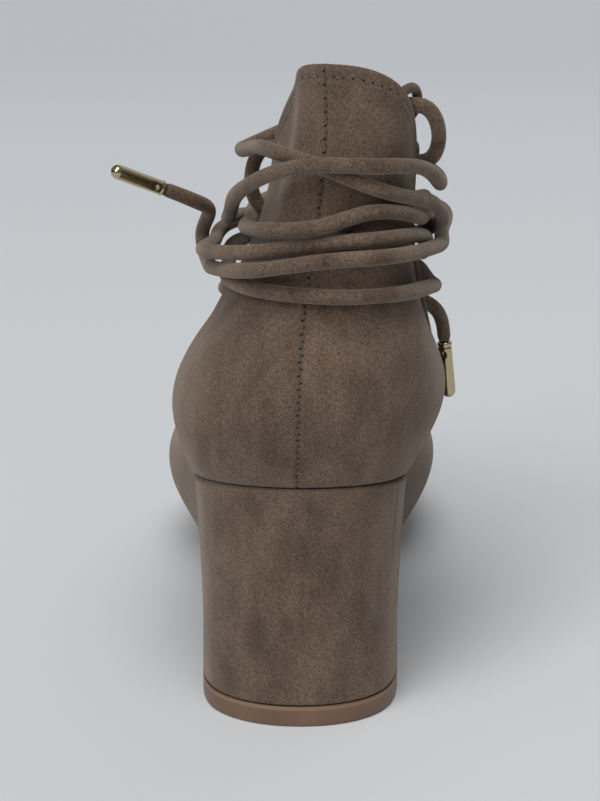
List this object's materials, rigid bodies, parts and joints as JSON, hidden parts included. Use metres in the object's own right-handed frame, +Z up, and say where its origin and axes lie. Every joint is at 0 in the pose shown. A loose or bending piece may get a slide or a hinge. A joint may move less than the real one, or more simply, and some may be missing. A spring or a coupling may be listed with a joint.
{
  "type": "lace-up heeled shoe",
  "caption": "Left-foot lace-up pump with a covered block heel, a high back tab and one round suede cord wound round the ankle, metal-tipped.",
  "frame": {"origin": "middle of the top piece's floor face, under the heel", "axes": "+Y along the shoe to the toe, +X to the medial side, +Z up from the floor"},
  "size_m": [0.0966, 0.2492, 0.1746],
  "materials": {
    "taupe_suede": "matt",
    "cord_suede": "matt",
    "tan_rubber": "satin",
    "lining": "matt",
    "pale_gold": "polished"
  },
  "bodies": {
    "root": {"upper": "taupe_suede", "insole": "lining", "outsole": "tan_rubber", "heel_block": "taupe_suede", "heel_lift": "tan_rubber", "loop_medial_1": "taupe_suede", "loop_medial_2": "taupe_suede", "loop_medial_3": "taupe_suede", "loop_medial_4": "taupe_suede", "loop_medial_5": "taupe_suede", "loop_lateral_1": "taupe_suede", "loop_lateral_2": "taupe_suede", "loop_lateral_3": "taupe_suede", "loop_lateral_4": "taupe_suede", "loop_lateral_5": "taupe_suede", "lace": "cord_suede", "cord_medial": "cord_suede", "cord_lateral": "cord_suede", "aglet_medial": "pale_gold", "aglet_lateral": "pale_gold"}
  },
  "joints": []
}
